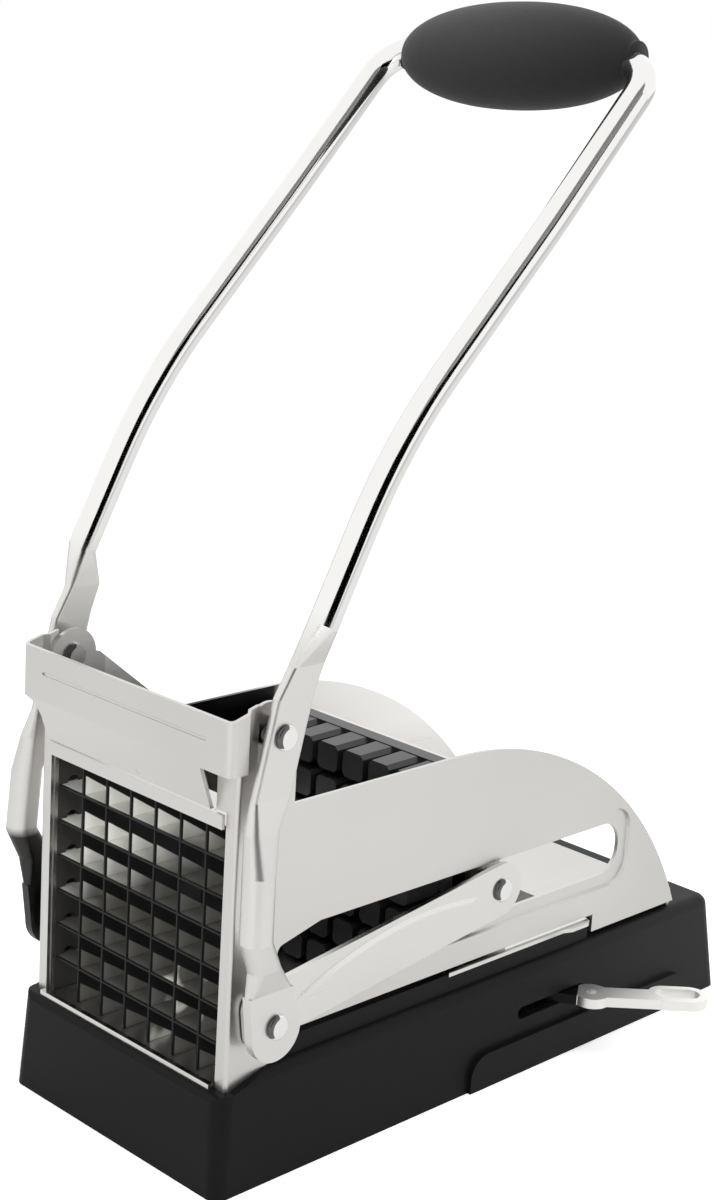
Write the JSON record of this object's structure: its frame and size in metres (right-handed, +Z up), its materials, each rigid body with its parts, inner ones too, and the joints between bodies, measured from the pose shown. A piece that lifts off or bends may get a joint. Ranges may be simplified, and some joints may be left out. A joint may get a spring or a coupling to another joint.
{
  "type": "french fry cutter",
  "caption": "Lever-operated potato chipper: a steel channel on a suction base, with a square blade grid, a pusher of square pins and a two-armed lever with a foam grip.",
  "frame": {"origin": "centre of the suction cup's underside, in the plane the base stands on", "axes": "+X towards the suction lever's side, -Y towards the blade window, +Z up"},
  "size_m": [0.1328, 0.2294, 0.3208],
  "materials": {
    "base_plastic": "soft sheen, moulded",
    "pusher_plastic": "soft sheen, moulded",
    "collar_plastic": "moulded",
    "sheet_steel": "satin stainless sheet",
    "link_steel": "bright pressed stainless",
    "blade_steel": "ground stainless",
    "rod_steel": "polished",
    "rivet_steel": "polished",
    "screw_steel": "plain",
    "foam": "fine closed-cell foam",
    "cup_rubber": "smooth"
  },
  "bodies": {
    "body": {"base_shell": "base_plastic", "floor_pan": "sheet_steel", "body_screws": "screw_steel", "right_side_plate": "sheet_steel", "left_side_plate": "sheet_steel", "front_panel": "sheet_steel", "pivot_rivets": "rivet_steel", "pivot_spacers": "rivet_steel", "blade_frame": "sheet_steel", "horizontal_blades": "blade_steel", "vertical_blades": "blade_steel"},
    "lever": {"right_arm": "rod_steel", "left_arm": "rod_steel", "crossbar": "rod_steel", "grip": "foam", "link_rivets": "rivet_steel"},
    "links": {"right_link": "link_steel", "left_link": "link_steel", "slot_rivets": "rivet_steel"},
    "pusher": {"pusher_block": "pusher_plastic", "pusher_carriage": "link_steel", "carriage_pins": "rivet_steel", "pusher_screws": "screw_steel"},
    "suction_lever": {"cam_collar": "collar_plastic", "suction_lever": "link_steel"},
    "suction_cup": {"suction_cup": "cup_rubber", "suction_stem": "rod_steel", "stem_pin": "rod_steel"}
  },
  "joints": [
    {"name": "lever_pivot", "type": "hinge", "parent": "body", "child": "lever", "pos_m": [0, -0.1014, 0.1316], "axis": [-1, 0, 0], "range_deg": [0, 55]},
    {"name": "link_pivot", "type": "hinge", "parent": "lever", "child": "links", "pos_m": [0, -0.1009, 0.05], "axis": [-1, 0, 0], "range_deg": [-34.83, 0]},
    {"name": "pusher_slide", "type": "slide", "parent": "body", "child": "pusher", "axis": [0, -1, 0], "range_m": [0, 0.06855]},
    {"name": "suction_lever_turn", "type": "hinge", "parent": "body", "child": "suction_lever", "pos_m": [0, 0, 0], "axis": [0, 0, -1], "range_deg": [0, 18]},
    {"name": "suction_lift", "type": "slide", "parent": "body", "child": "suction_cup", "axis": [0, 0, 1], "range_m": [0, 0.003]}
  ],
  "couplings": [
    {"joint": "link_pivot", "follows": "lever_pivot", "ratio": -0.6332},
    {"joint": "pusher_slide", "follows": "lever_pivot", "m_per_rad": 0.07141},
    {"joint": "suction_lever_turn", "follows": "suction_lift", "rad_per_m": 104.71}
  ]
}
